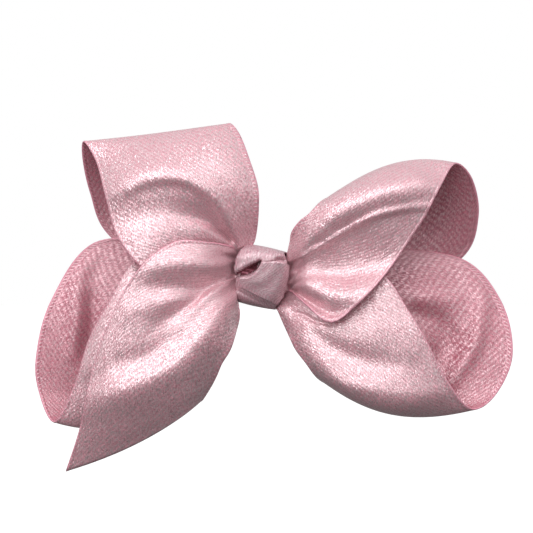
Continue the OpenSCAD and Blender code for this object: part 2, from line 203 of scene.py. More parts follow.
# ---- Folds: (x, z, height towards the viewer, width above, width below) along each, in mm --
# The front ones are on the layer that starts at the knot's front, the back ones on the other
FRONT_FOLDS = {
    "ribbon_upper_left": [
        [(-39, 18.5, 0.4, 4, 2), (-34.4, 20.5, 0.9, 4, 1.8), (-26.5, 23.6, 1.3, 4, 1.5),
         (-18.6, 23.4, 1.4, 3.6, 1.4), (-12.1, 19.4, 1.4, 3, 1.3), (-8.4, 13.4, 1.1, 2.2, 1),
         (-6.4, 8.6, 0.4, 1.4, 0.8)],
        [(-36, 12.4, -0.5, 3.6, 3), (-30.8, 14.4, -1.0, 4, 3), (-22.2, 16, -1.2, 4, 3),
         (-14.3, 13.9, -2.0, 3, 1.5), (-9.6, 11, -1.6, 1.6, 0.6), (-7, 8.4, -0.7, 0.8, 0.5)],
        [(-30, 5.5, 0.2, 3, 9), (-24, 8.4, 0.3, 3, 9), (-18, 9.6, 0.3, 2.4, 8),
         (-12.5, 9.2, 0.3, 1.2, 5), (-8, 7.6, 0.2, 0.6, 3)],
        [(-12.4, 11.6, -0.6, 0.8, 0.5), (-10, 10.5, -1.5, 0.8, 0.5), (-7.6, 8.8, -1.0, 0.7, 0.5)],
    ],
    "ribbon_front_tail": [
        [(-31, 1.0, 0.4, 3, 3), (-25.4, 2.8, 1.4, 3.2, 3.2), (-15.5, 3.2, 2.2, 3.2, 3),
         (-10.9, 2.8, 1.8, 2.4, 2), (-7.2, 2.1, 0.7, 1.3, 0.9)],
        [(-24, -2.8, -0.8, 3, 2), (-16, -2.7, -1.2, 3, 1.7), (-10.9, -0.9, -0.8, 1.6, 1)],
        [(-7.1, 0.1, -0.8, 1.0, 0.4), (-10.9, -1.9, -1.8, 2.2, 0.6), (-13.6, -3.4, -1.9, 2.6, 0.7),
         (-16.6, -5.9, -1.7, 2.4, 0.9), (-20.1, -8.4, -1.4, 2.2, 1.6), (-25, -11.6, -0.6, 2, 3)],
        [(-13.5, -3.4, 0.1, 0.8, 0.5), (-18.6, -5.1, 0.7, 1.6, 1.3), (-24.3, -6, 0.7, 2.2, 2.4),
         (-32, -8, 0.4, 2.5, 3)],
        [(-5.6, -3, 0.6, 0.9, 1.2), (-8, -5.6, 1.4, 1.5, 2.2), (-11, -9.4, 2.0, 2.2, 3.2),
         (-15.4, -15.6, 2.5, 3, 4.2), (-21.2, -21.8, 2.7, 3.6, 4.6), (-31, -26.6, 2.2, 3.8, 5),
         (-41, -30, 1.4, 4, 5)],
        [(-21, -14, -0.2, 1.6, 2), (-27, -18.4, -0.5, 2, 2.4), (-34, -20.6, -0.5, 2.4, 2.6)],
    ],
    "ribbon_upper_right": [
        [(7.5, 4.9, 0.5, 1.6, 1), (9.6, 7.2, 1.0, 2.2, 1.4), (14.7, 12.2, 2.0, 3.4, 2.7),
         (25, 18.9, 2.7, 4.2, 3.9), (35.4, 22.1, 2.5, 4.2, 4.2), (41, 22.9, 1.8, 4, 4)],
        [(7, 3.6, 0.6, 0.8, 0.3), (13.7, 7.0, 0.8, 0.9, 0.3), (20, 10.9, 1.1, 0.9, 0.35),
         (27.7, 14.7, 1.2, 1.0, 0.35), (35.4, 16.3, 0.8, 1.1, 0.4), (41, 17.0, 0.4, 1.2, 0.8)],
        [(7.2, 2.4, -1.4, 1.2, 1.2), (12, 2.1, -2.3, 4, 2.4), (17, 1.7, -4.0, 7.4, 3.8),
         (22, 1.9, -4.7, 9, 4.4), (28, 3.7, -4.2, 9, 4.6), (34, 7.0, -2.7, 8, 4.6)],
        [(6.8, -1.0, 0.3, 0.9, 1.2), (11.6, -2.6, 0.5, 1.6, 2), (16.7, -3.8, 0.5, 2, 2),
         (22.2, -3.6, 0.5, 2.2, 2.4), (28, -1.4, 0.3, 2, 2.6)],
        [(7, -2.8, -1.6, 0.8, 0.6), (9.5, -4.6, -2.8, 1.3, 0.8), (13, -7.0, -2.8, 1.7, 1),
         (17, -8.6, -1.7, 2, 1.1), (21, -7.6, -0.7, 2, 1.2)],
    ],
    "ribbon_lower_right": [
        [(5.8, -11, 0.3, 1.4, 1.5), (8.6, -16.4, 0.7, 2.2, 2.2), (12.8, -21.6, 0.8, 2.4, 2.6),
         (19.5, -26, 0.8, 2.4, 3), (30.6, -28.4, 0.8, 2.4, 3.2), (43.3, -28.6, 0.5, 2.6, 3)],
        [(13, -14, -0.6, 1.6, 1.6), (19, -18, -1.0, 2.4, 2.2), (27, -20.6, -0.8, 3, 2.6),
         (36.1, -21.6, -0.5, 3, 2.8)],
        [(19, -12, 0.4, 3, 5), (27, -13, 0.6, 4.4, 6), (34, -12.4, 0.5, 4.4, 6)],
        [(7.5, -8.6, -0.5, 0.6, 0.6), (10.5, -9.2, -0.8, 0.5, 0.7), (13, -10.6, -0.7, 0.5, 0.7),
         (16.5, -11.4, -0.5, 0.5, 0.8)],
    ],
    "ribbon_lower_left": [
        [(-31, 1, 0.4, 2, 2), (-38, -11, 0.7, 2.5, 2.5), (-42, -22, 0.6, 2.5, 2.5)],
    ],
}
BACK_FOLDS = {
    "ribbon_lower_right": [
        [(50, 4, 0.3, 2, 2.5), (54.4, -4, 1.0, 2.2, 2.2), (54.2, -9, 1.4, 2, 2),
         (52.6, -16.8, 1.6, 1.8, 1.8), (46.8, -25.6, 1.0, 1.8, 1.8)],
        [(38, -9, -1.2, 2, 3), (44, -12, -1.9, 3.4, 4), (45, -17, -2.0, 4, 4),
         (41, -22, -1.2, 3, 3)],
        [(33, -3, 0.6, 4, 3), (41, -4.6, 1.2, 5, 2.6), (48, -5, 0.6, 4, 2.6)],
    ],
    "ribbon_lower_left": [
        [(-42, 5, 0.4, 2, 2), (-45.7, 0, 1.2, 2.2, 2.2), (-45.8, -11.5, 1.3, 2.4, 2.4),
         (-46.9, -19, 0.5, 2, 2)],
        [(-42.4, -6, -0.8, 2, 2), (-42.6, -13, -1.1, 2, 2), (-44, -19, -0.7, 1.8, 1.8)],
    ],
}


def smoothstep(x):
    x = np.clip(x, 0, 1)
    return x * x * (3 - 2 * x)


def cubic(a, b, c, d, f):
    """Catmull-Rom between b and c."""
    return 0.5 * (
        2 * b + (c - a) * f + (2 * a - 5 * b + 4 * c - d) * f**2
        + (3 * b - a - 3 * c + d) * f**3
    )


def interpolate(rows, steps):
    """Rows of points, joined by a smooth curve with the given steps between two of them."""
    rows = np.asarray(rows, float)
    padded = np.concatenate([2 * rows[:1] - rows[1:2], rows, 2 * rows[-1:] - rows[-2:-1]])
    at = np.linspace(0, len(rows) - 1, (len(rows) - 1) * steps + 1)
    i = np.minimum(at.astype(int), len(rows) - 2)
    f = (at - i).reshape((-1,) + (1,) * (rows.ndim - 1))
    return cubic(padded[i], padded[i + 1], padded[i + 2], padded[i + 3], f)


def arcs_across(rows, v):
    """A quadratic arc through each row's three points, at the places v from 0 to 1."""
    v = np.asarray(v)[None, :, None]
    a, b, c = rows[:, 0:1], rows[:, 1:2], rows[:, 2:3]
    return a * (1 - v) * (1 - 2 * v) + b * 4 * v * (1 - v) + c * v * (2 * v - 1)


def lengths(points, axis):
    """Running length along an axis of a grid of points."""
    steps = np.linalg.norm(np.diff(points, axis=axis), axis=-1)
    start = np.zeros_like(np.take(steps, [0], axis=axis))
    return np.concatenate([start, np.cumsum(steps, axis=axis)], axis=axis)


def normals(grid):
    """Unit normals of a grid of points, along way of rows times way of columns."""
    n = np.cross(np.gradient(grid, axis=0), np.gradient(grid, axis=1))
    return n / np.maximum(np.linalg.norm(n, axis=2, keepdims=True), 1e-9)


FOLD_STEPS = 12
# A fold's upper side is the one towards this x and z
FOLD_UP = (0.2, 1)


def add_fold(grid, fold, facing):
    """Pushes one layer along -Y by a ridge over the fold's line, steeper on one side of it."""
    line = interpolate(fold, FOLD_STEPS)
    way = np.gradient(line[:, :2], axis=0)
    up = np.stack([-way[:, 1], way[:, 0]], axis=1)
    up *= np.where(up @ FOLD_UP < 0, -1, 1)[:, None]
    offset = grid[:, :, None, (0, 2)] - line[None, None, :, :2]
    d = np.linalg.norm(offset, axis=3)
    nearest = d.argmin(axis=2)
    from_line = np.take_along_axis(offset, nearest[:, :, None, None], 2)[:, :, 0]
    above = (from_line * up[nearest]).sum(2)
    width = np.where(above > 0, line[nearest, 3], line[nearest, 4])
    shape = np.exp(-((d.min(axis=2) / width) ** 2))
    grid[:, :, 1] -= facing * line[nearest, 2] * shape


# ---- Cloth meshes ----------------------------------------------------------------
def mesh_object(name, points, faces, uvs, slots, materials, rides=True):
    """A smooth mesh in metres from points in mm, with one UV for each corner of each face."""
    mesh = bpy.data.meshes.new(name)
    mesh.from_pydata([tuple(p) for p in np.asarray(points) * MM], [], faces)
    layer = mesh.uv_layers.new(name="cloth")
    layer.data.foreach_set("uv", np.asarray(uvs, float).ravel())
    for material in materials:
        mesh.materials.append(material)
    mesh.polygons.foreach_set("material_index", slots)
    mesh.polygons.foreach_set("use_smooth", [True] * len(faces))
    mesh.update()
    piece = bpy.data.objects.new(name, mesh)
    bpy.context.collection.objects.link(piece)
    if rides:
        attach(piece, "bow")
    return piece


def cloth(name, grid, half_t, uv, materials, flip=False, round_way=False):
    """A closed sheet of cloth about a grid of points: its face, its back and its edges.
    half_t is half the thickness at each column. uv holds the cloth's own lengths in metres.
    round_way joins the last row to the first."""
    rows, columns = grid.shape[:2]
    way = normals(grid) * (-1 if flip else 1)
    face = grid + way * np.asarray(half_t)[None, :, None]
    back = grid - way * np.asarray(half_t)[None, :, None]
    points = np.concatenate([face.reshape(-1, 3), back.reshape(-1, 3)])
    under = rows * columns
    faces, slots = [], []

    def add(a, b, c, d, slot):
        faces.append((a, b, c, d) if not flip else (d, c, b, a))
        slots.append(slot)

    last = rows if round_way else rows - 1
    for i in range(last):
        for j in range(columns - 1):
            a, b = i * columns + j, ((i + 1) % rows) * columns + j
            add(a, b, b + 1, a + 1, 0)
            add(under + a + 1, under + b + 1, under + b, under + a, 1)
        a, b = i * columns, ((i + 1) % rows) * columns
        add(under + a, under + b, b, a, 2)
        a, b = a + columns - 1, b + columns - 1
        add(a, b, under + b, under + a, 2)
    if not round_way:
        for j in range(columns - 1):
            add(j, j + 1, under + j + 1, under + j, 2)
            a = under - columns + j
            add(under + a, under + a + 1, a + 1, a, 2)
    flat_uv = np.concatenate([uv.reshape(-1, 2)] * 2)
    corners = [flat_uv[k] for f in faces for k in f]
    return mesh_object(name, points, faces, corners, slots, materials)


# Places across the ribbon, in mm from a selvedge, and half the thickness there
SELVEDGE = [(0, 0.1), (0.12, 0.2), (0.45, 0.24), (0.85, 0.22), (1.05, 0.13), (1.3, 0.16), (2, 0.17)]
BODY_COLUMNS = 56


def ribbon_columns():
    left = np.array(SELVEDGE)
    body = np.linspace(SELVEDGE[-1][0], RIBBON_W - SELVEDGE[-1][0], BODY_COLUMNS)[1:-1]
    places = np.concatenate([left[:, 0], body, RIBBON_W - left[::-1, 0]])
    thick = np.concatenate([left[:, 1], np.full(len(body), left[-1, 1]), left[::-1, 1]])
    return places, thick


ROWS_PER_SECTION = 12
# The pleats across a ribbon, their height, how far their spacing drifts, how high they start,
# and over what lengths they rise and die away, in mm
PLEATS = 4.5
PLEAT_H = 0.75
PLEAT_DRIFT = 0.18
PLEAT_START = 0.3
PLEAT_RISE = 5.0
PLEAT_REACH = 9.0


def pleat(grid, ends, seed, lift):
    """Pleats that fan out from the gather and die away, at the given ends of the strip."""
    columns = grid.shape[1]
    v = np.linspace(0, 1, columns)[None, :]
    along = lengths(grid, 0).mean(axis=1)[:, None]
    way = normals(grid)
    rng = np.random.default_rng(seed)
    phase, wobble = rng.uniform(0, 2 * math.pi, 2)
    for end in ends:
        d = along if end == 0 else along[-1] - along
        drift = PLEAT_DRIFT * np.sin(2 * math.pi * v + wobble)
        wave = np.sin(2 * math.pi * (PLEATS * v + drift) + phase)
        height = lift[end] * PLEAT_H * (PLEAT_START + smoothstep(d / PLEAT_RISE))
        height = height * np.exp(-((d / PLEAT_REACH) ** 2))
        grid += way * (height * wave)[:, :, None]
    return grid


def ribbon(name, sections, cad_node, materials, flip, front_rows, seed, ends=(0, 1)):
    """One strip of ribbon from its sections, with its folds and pleats. Its first front_rows
    sections are its front layer."""
    places, thick = ribbon_columns()
    rows = interpolate(sections, ROWS_PER_SECTION)
    grid = arcs_across(rows, places / RIBBON_W)
    at = np.arange(len(grid)) / ROWS_PER_SECTION
    facing = smoothstep(front_rows + 0.5 - at)[:, None]
    for fold in FRONT_FOLDS.get(name, []):
        add_fold(grid, fold, facing)
    bend = np.clip((places / RIBBON_W - CURL_FROM) / (1 - CURL_FROM), 0, 1) ** 2
    out_of_knot = smoothstep((at - CURL_ROWS) / CURL_ROWS)[:, None]
    grid[:, :, 1] += CURL.get(name, 0) * facing * out_of_knot * bend[None, :]
    for fold in BACK_FOLDS.get(name, []):
        add_fold(grid, fold, 1 - facing)
    grid = pleat(grid, ends, seed, PLEAT_LIFT.get(name, USUAL_LIFT))
    grid[:, :, 1] -= BOW_FORWARD
    along = lengths(grid, 0)
    uv = np.stack([along, np.broadcast_to(places, along.shape)], axis=2) * MM
    piece = cloth(name, grid, thick, uv, materials, flip)
    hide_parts(cad_node)


# ---- Materials ---------------------------------------------------------------------
class Shader:
    """A procedural material: its nodes are made and linked by short calls."""

    def __init__(self, name):
        self.material = bpy.data.materials.new(name)
        self.material.use_nodes = True
        self.tree = self.material.node_tree
        self.bsdf = self.tree.nodes["Principled BSDF"]

    def node(self, kind, inputs=None, **settings):
        made = self.tree.nodes.new(kind)
        for key, value in settings.items():
            setattr(made, key, value)
        for key, value in (inputs or {}).items():
            self.put(made.inputs[key], value)
        return made

    def put(self, socket, value):
        """Links an output to the socket, or sets the socket's own value."""
        if isinstance(value, bpy.types.NodeSocket):
            self.tree.links.new(value, socket)
        else:
            socket.default_value = value

    def maths(self, operation, a, b=0.0):
        return self.node("ShaderNodeMath", {0: a, 1: b}, operation=operation).outputs[0]

    def total(self, first, *rest):
        for part in rest:
            first = self.maths("ADD", first, part)
        return first

    def vectors(self, operation, a, b=(0, 0, 0)):
        return self.node("ShaderNodeVectorMath", {0: a, 1: b}, operation=operation).outputs[0]

    def mix(self, factor, a, b):
        made = self.node("ShaderNodeMix", data_type="RGBA")
        self.put(made.inputs["Factor"], factor)
        self.put(made.inputs["A"], a)
        self.put(made.inputs["B"], b)
        return made.outputs["Result"]

    def ramp(self, value, low, high):
        """The value stretched so that low gives 0 and high gives 1."""
        return self.node("ShaderNodeMapRange", {0: value, 1: low, 2: high}).outputs[0]

    def noise(self, vector, scale, detail=2.0):
        made = self.node("ShaderNodeTexNoise", {"Vector": vector, "Scale": scale, "Detail": detail})
        return made.outputs["Fac"]

    def sine(self, length, pitch):
        """A sine from -1 to 1 along a length in metres."""
        return self.maths("SINE", self.maths("MULTIPLY", length, 2 * math.pi / pitch))

    def bump(self, height, strength, distance, **more):
        values = {"Height": height, "Strength": strength, "Distance": distance, **more}
        return self.node("ShaderNodeBump", values).outputs["Normal"]

    def place(self):
        """The place on the object, in metres."""
        return self.node("ShaderNodeTexCoord").outputs["Object"]

    def cloth_place(self):
        """The place on the cloth, in metres: as a vector, and along and across it."""
        uv = self.node("ShaderNodeUVMap", uv_map="cloth").outputs["UV"]
        parts = self.node("ShaderNodeSeparateXYZ", {0: uv})
        return uv, parts.outputs["X"], parts.outputs["Y"]

    def finish(self, **values):
        for key, value in values.items():
            self.put(self.bsdf.inputs[key.replace("_", " ")], value)
        return self.material


# The selvedge, in metres from the cloth's edge: where its picot band and its bare rim end, and a
# thin line drawn in the selvedge colour beside them, as colour only
PICOT_BAND = (0.0011, 0.00095)
PICOT_PITCH = 0.00095
PICOT_FROM = 0.1
BARE_RIM = (0.00045, 0.0003)
SELVEDGE_LINE_AT = 0.00108
SELVEDGE_LINE_HALF_W = 0.0001
SELVEDGE_LINE_MIX = 0.7
SELVEDGE_COLOUR = (0.72, 0.27, 0.36, 1)
# The weave: slanting ribs over small cells of yarn or lurex, which patches make uneven
TWILL_ANGLE = math.radians(40)
TWILL_STRETCH = (0.6, 1.0, 1.0)
RIB_PITCH = 0.00062
CELLS_PER_M = 5000.0
CELL_DISORDER = 0.85
PATCHES_PER_M = 160.0
PATCH_SHARE = 0.2
RIB_SHARE = 0.16
LUREX_RANGE = (0.85, 1.45)
RIB_SHADE = 0.25
YARN_DEEP, YARN_PALE = 0.72, 1.12
SPARK_RANGE = (0.84, 0.9)
LUREX_METAL = 0.66
# What the ribs and the cells add to the bump's height
RIB_H = 0.3
CELL_H = 0.5
WEAVE_STRENGTH = 0.35
WEAVE_DISTANCE = 0.00012


def ribbon_shader(name, yarn, lurex, share, roughness, tilt, width=RIBBON_W * MM, specular=1.0,
                  coat=0.0, glitter=0.0):
    """Woven ribbon in cells of soft yarn and shiny lurex, with fine ribs and a picot selvedge.
    share is how much of it is lurex, tilt how far its threads lean either way, and glitter how
    much further a few of them lean."""
    s = Shader(name)
    uv, along, across = s.cloth_place()
    from_edge = s.maths("MINIMUM", across, s.maths("SUBTRACT", width, across))
    band = s.ramp(from_edge, *PICOT_BAND)
    rim = s.ramp(from_edge, *BARE_RIM)
    selvedge_line = s.node("ShaderNodeMath", {0: from_edge, 1: SELVEDGE_LINE_AT, 2: SELVEDGE_LINE_HALF_W},
                    operation="COMPARE").outputs[0]
    dots = s.maths("MULTIPLY", s.ramp(s.sine(along, PICOT_PITCH), PICOT_FROM, 1.0),
                   s.maths("SUBTRACT", band, rim))
    twill = s.node("ShaderNodeMapping", {"Vector": uv, "Rotation": (0, 0, TWILL_ANGLE),
                                         "Scale": TWILL_STRETCH}).outputs[0]
    rib = s.sine(s.node("ShaderNodeSeparateXYZ", {0: twill}).outputs["Y"], RIB_PITCH)
    cell = s.node("ShaderNodeTexVoronoi", {"Vector": twill, "Scale": CELLS_PER_M,
                                           "Randomness": CELL_DISORDER}).outputs["Color"]
    rand = s.node("ShaderNodeSeparateColor", {0: cell}).outputs
    patch = s.noise(uv, PATCHES_PER_M, 3.0)
    threads = s.ramp(s.total(rand[0], s.maths("MULTIPLY", patch, PATCH_SHARE),
                             s.maths("MULTIPLY", rib, RIB_SHARE)),
                     *(end - share for end in LUREX_RANGE))
    threads = s.maths("MULTIPLY", threads, s.maths("SUBTRACT", 1.0, band))
    lurex_at = s.maths("MAXIMUM", threads, dots)
    deep = tuple(YARN_DEEP * c for c in yarn[:3]) + (1,)
    pale = tuple(min(1, YARN_PALE * c) for c in yarn[:3]) + (1,)
    shade = s.ramp(s.total(rand[1], s.maths("MULTIPLY", rib, RIB_SHADE)), 0.0, 1.0)
    soft = s.mix(shade, deep, pale)
    # The rim and the thin line beside the picot band take the selvedge colour
    soft = s.mix(s.maths("MAXIMUM", rim, s.maths("MULTIPLY", selvedge_line, SELVEDGE_LINE_MIX)), soft,
                 SELVEDGE_COLOUR)
    spark = s.maths("MULTIPLY", s.ramp(rand[1], *SPARK_RANGE), glitter)
    lean = s.node("ShaderNodeVectorMath", {0: s.vectors("SUBTRACT", cell, (0.5, 0.5, 0.5)),
                                           "Scale": s.maths("ADD", spark, tilt)},
                  operation="SCALE").outputs[0]
    normal = s.vectors("ADD", s.node("ShaderNodeNewGeometry").outputs["Normal"], lean)
    height = s.total(s.maths("MULTIPLY", rib, RIB_H), dots, s.maths("MULTIPLY", rand[2], CELL_H))
    return s.finish(Base_Color=s.mix(lurex_at, soft, lurex),
                    Metallic=s.maths("MULTIPLY", lurex_at, LUREX_METAL), Roughness=roughness,
                    Normal=s.bump(height, WEAVE_STRENGTH, WEAVE_DISTANCE,
                                  Normal=s.vectors("NORMALIZE", normal)),
                    IOR=1.7, Specular_IOR_Level=specular, Sheen_Weight=0.1, Sheen_Roughness=0.5,
                    Coat_Weight=coat, Coat_Roughness=0.4, Coat_IOR=2.0)


def make_ribbon_materials():
    """The long ribbon's face, its back, whose darker colour is partly painted shade, and its cut
    edges.
    """
    face = ribbon_shader("ribbon_face", yarn=(0.74, 0.30, 0.37, 1), lurex=(0.89, 0.64, 0.68, 1),
                         share=0.5, roughness=0.34, tilt=0.48, coat=0.5, glitter=0.3)
    # The back's duller weave is its own, and its colour is partly painted shade for the loops'
    # insides
    back = ribbon_shader("ribbon_back_and_shade", yarn=(0.56, 0.165, 0.225, 1), lurex=(0.76, 0.50, 0.545, 1),
                         share=0.31, roughness=0.42, tilt=0.32, specular=0.7)
    edge = ribbon_shader("ribbon_edge", yarn=(0.66, 0.25, 0.32, 1), lurex=(0.80, 0.55, 0.60, 1),
                         share=0.1, roughness=0.5, tilt=0.2, specular=0.5)
    return [face, back, edge]


ROLLED = (0.06, 1.0, 1.0)


def metal_shader(name, colour, worn, roughness, scratch):
    """Plated steel with cloudy polish and fine rolled scratches along X."""
    s = Shader(name)
    rolled = s.node("ShaderNodeMapping", {"Vector": s.place(), "Scale": ROLLED}).outputs[0]
    lines = s.noise(rolled, scale=9000.0, detail=3.0)
    cloud = s.noise(s.place(), scale=260.0, detail=4.0)
    rough = s.total(roughness, s.maths("MULTIPLY", cloud, 0.16), s.maths("MULTIPLY", lines, 0.08))
    return s.finish(Base_Color=s.mix(s.ramp(cloud, 0.35, 0.75), colour, worn), Metallic=1.0,
                    Roughness=rough, Normal=s.bump(lines, scratch, distance=0.00003))


PLY_PITCH_ALONG = 0.0006
PLY_PITCH_ROUND = 0.0005


def thread_shader():
    """Twisted polyester thread, pale pink, with its plies as slanting ridges."""
    s = Shader("thread")
    uv, along, around = s.cloth_place()
    slant = s.total(s.maths("MULTIPLY", along, 2 * math.pi / PLY_PITCH_ALONG),
                    s.maths("MULTIPLY", around, 2 * math.pi / PLY_PITCH_ROUND))
    ply = s.maths("SINE", slant)
    tone = s.mix(s.ramp(s.total(ply, s.noise(uv, scale=2000.0)), -0.6, 1.6),
                 (0.52, 0.30, 0.35, 1), (0.86, 0.66, 0.70, 1))
    return s.finish(Base_Color=tone, Roughness=0.6, Sheen_Weight=0.4, Sheen_Roughness=0.4,
                    Normal=s.bump(ply, strength=0.6, distance=0.00006))


def glue_shader():
    """Set hot glue: milky, waxy and slightly see-through."""
    s = Shader("hot_glue")
    cloud = s.noise(s.place(), scale=420.0, detail=3.0)
    tone = s.mix(cloud, (0.80, 0.76, 0.68, 1), (0.93, 0.91, 0.86, 1))
    dimples = s.noise(s.place(), scale=700.0)
    return s.finish(Base_Color=tone, Roughness=s.total(0.22, s.maths("MULTIPLY", cloud, 0.2)),
                    Subsurface_Weight=0.35, Subsurface_Scale=0.002,
                    Normal=s.bump(dimples, strength=0.3, distance=0.0002))


# ---- Lights and floor ----------------------------------------------------------------
FLOOR_Z = -0.16
FLOOR_R = 8.0
FLOOR_GLOW = 0.62


def make_floor():
    """A pale floor far below, which lights nothing but itself so the bow's shade stays deep."""
    s = Shader("floor")
    shade = s.mix(s.noise(s.place(), scale=3.0), (0.80, 0.79, 0.79, 1), (0.84, 0.83, 0.83, 1))
    material = s.finish(Base_Color=shade, Roughness=0.9, Emission_Color=(1, 1, 1, 1),
                        Emission_Strength=FLOOR_GLOW)
    corners = [(-1, -1), (1, -1), (1, 1), (-1, 1)]
    mesh = bpy.data.meshes.new("floor")
    mesh.from_pydata([(FLOOR_R * x, FLOOR_R * y, FLOOR_Z) for x, y in corners], [], [(0, 1, 2, 3)])
    mesh.materials.append(material)
    floor = bpy.data.objects.new("floor", mesh)
    bpy.context.collection.objects.link(floor)
    floor.visible_diffuse = False
    floor.visible_glossy = False


# The studio's light by height above the horizon, from straight down (0) to straight up (1)
SKY = [(0.0, 0.12), (0.455, 0.18), (0.485, 1.0), (0.565, 1.0), (0.60, 0.46), (0.75, 0.58),
       (1.0, 0.7)]


def make_world():
    world = bpy.data.worlds.new("studio")
    bpy.context.scene.world = world
    world.use_nodes = True
    tree = world.node_tree
    way = tree.nodes.new("ShaderNodeTexCoord").outputs["Generated"]
    parts = tree.nodes.new("ShaderNodeSeparateXYZ")
    tree.links.new(way, parts.inputs[0])
    height = tree.nodes.new("ShaderNodeMath")
    height.operation = "MULTIPLY_ADD"
    tree.links.new(parts.outputs["Z"], height.inputs[0])
    height.inputs[1].default_value = 0.5
    height.inputs[2].default_value = 0.5
    ramp = tree.nodes.new("ShaderNodeValToRGB")
    tree.links.new(height.outputs[0], ramp.inputs[0])
    stops = ramp.color_ramp.elements
    for place, value in SKY[:-2]:
        stops.new(place)
    for stop, (place, value) in zip(stops, SKY):
        stop.position = place
        stop.color = (value, value, value, 1)
    tree.links.new(ramp.outputs["Color"], tree.nodes["Background"].inputs["Color"])


# Each light's place and size in metres, and its power. Both look at the middle of the bow
LIGHTS = {"key": ((-0.04, -0.46, 0.48), (1.3, 0.3), 3.6),
          "fill": ((-0.25, -0.75, 0.20), (0.4, 0.4), 1.6)}


def make_lights():
    for name, (place, size, power) in LIGHTS.items():
        data = bpy.data.lights.new(name, "AREA")
        data.shape = "RECTANGLE"
        data.size, data.size_y = size
        data.energy = power
        light = bpy.data.objects.new(name, data)
        bpy.context.collection.objects.link(light)
        light.location = place
        light.rotation_euler = (-Vector(place)).to_track_quat("-Z", "Y").to_euler()
    bpy.context.scene.view_settings.view_transform = "Standard"


# ---- Knot: u along the bow and w up the knot, both in mm in its leaning frame -----------
# Its two front edges, as (w, u)
KNOT_LEFT = [(-7.3, -3.6), (-6.6, -5.2), (-3, -5.8), (-1.2, -6.3), (0.5, -7.1), (3.5, -7.2),
             (5.6, -6.5), (7.2, -5.4)]
KNOT_RIGHT = [(-7.3, 4.7), (-5.8, 5.0), (-2.5, 5.7), (0.2, 5.9), (4.1, 5.6), (5.5, 5.0),
              (7.2, 3.9)]
KNOT_MIDDLE_Y = -6.55
KNOT_HALF_D = 5.35
KNOT_HALF_H = 7.2
KNOT_BACK_U = 5.4
KNOT_POWER = 3.0
KNOT_HALF_T = 0.25
SHOULDER_SLOPE = 0.55
SHOULDER_W = 2.6
SHOULDER_REACH = 1.4
SHOULDER_H = 0.7
# Dents (above 0) and ridges in the knot's front: depth, and a line of (u, w, width)
KNOT_MARKS = [
    (1.0, [(2.8, 5.0, 0.5), (3.5, 5.3, 0.55), (4.2, 5.2, 0.4)]),
    (-0.35, [(-6.5, 3.5, 1.0), (-2, 5.3, 1.3), (3, 6.4, 0.9)]),
    (0.3, [(-5.5, -4.4, 0.4), (-0.5, -5.6, 0.5), (4, -6.5, 0.4)]),
]
# Deeper than the cloth before the gathered layers, so those show in the slit
SLIT_DEPTH = 4.8
# How deep in the slit a face must lie to take the painted-shade cloth
SLIT_SHADE = 0.12
# The slit between the knot's shoulder and its flap, and the flap's rolled rim and free side
SLIT = [(-6.3, -1.4, 0.3), (-5.4, -0.5, 0.6), (-4.3, 0.4, 0.9), (-3.2, 1.2, 1.0),
        (-2.1, 2.3, 0.85), (-1.3, 3.5, 0.45)]
RIM = [(-0.66, 3.7), (-1.4, 1.5), (-2.4, -0.1), (-3.7, -1.0), (-5.1, -1.3), (-5.55, -2.2),
       (-5.3, -3.4)]
FLAP_SIDE = [(5.75, 4.3), (6.15, 2.2), (6.2, 0.2), (6.1, -2.0), (5.8, -3.8), (5.45, -5.0),
             (5.0, -5.9)]


def at_gather(points):
    """Points (u, y, w) of the knot's leaning frame as (x, y, z) in mm."""
    u, y, w = points[..., 0], points[..., 1], points[..., 2]
    c, s = math.cos(KNOT_LEAN), math.sin(KNOT_LEAN)
    return np.stack([u * c + w * s, y - BOW_FORWARD, w * c - u * s], axis=-1)


def full_turn(steps):
    return np.linspace(0, 2 * math.pi, steps + 1)[:-1]


def superellipse(angle, power):
    """A rounded box's outline as two factors from -1 to 1, for angles from its first axis."""
    c, s = np.cos(angle), np.sin(angle)
    return (np.sign(c) * np.abs(c) ** (2 / power), np.sign(s) * np.abs(s) ** (2 / power))


def bump_along(u, w, line, power=2):
    """How near each point is to a line of (u, w, width), from 1 on it down to 0."""
    line = interpolate(line, 8)
    d = np.hypot(u[..., None] - line[:, 0], w[..., None] - line[:, 1])
    nearest = d.argmin(axis=-1)
    return np.exp(-((d.min(axis=-1) / line[nearest, 2]) ** power))


def grid_uv(grid, offset=10.0):
    """The cloth's own lengths, kept clear of where the shader draws a selvedge."""
    return np.stack([lengths(grid, 0), lengths(grid, 1) + offset], axis=2) * MM


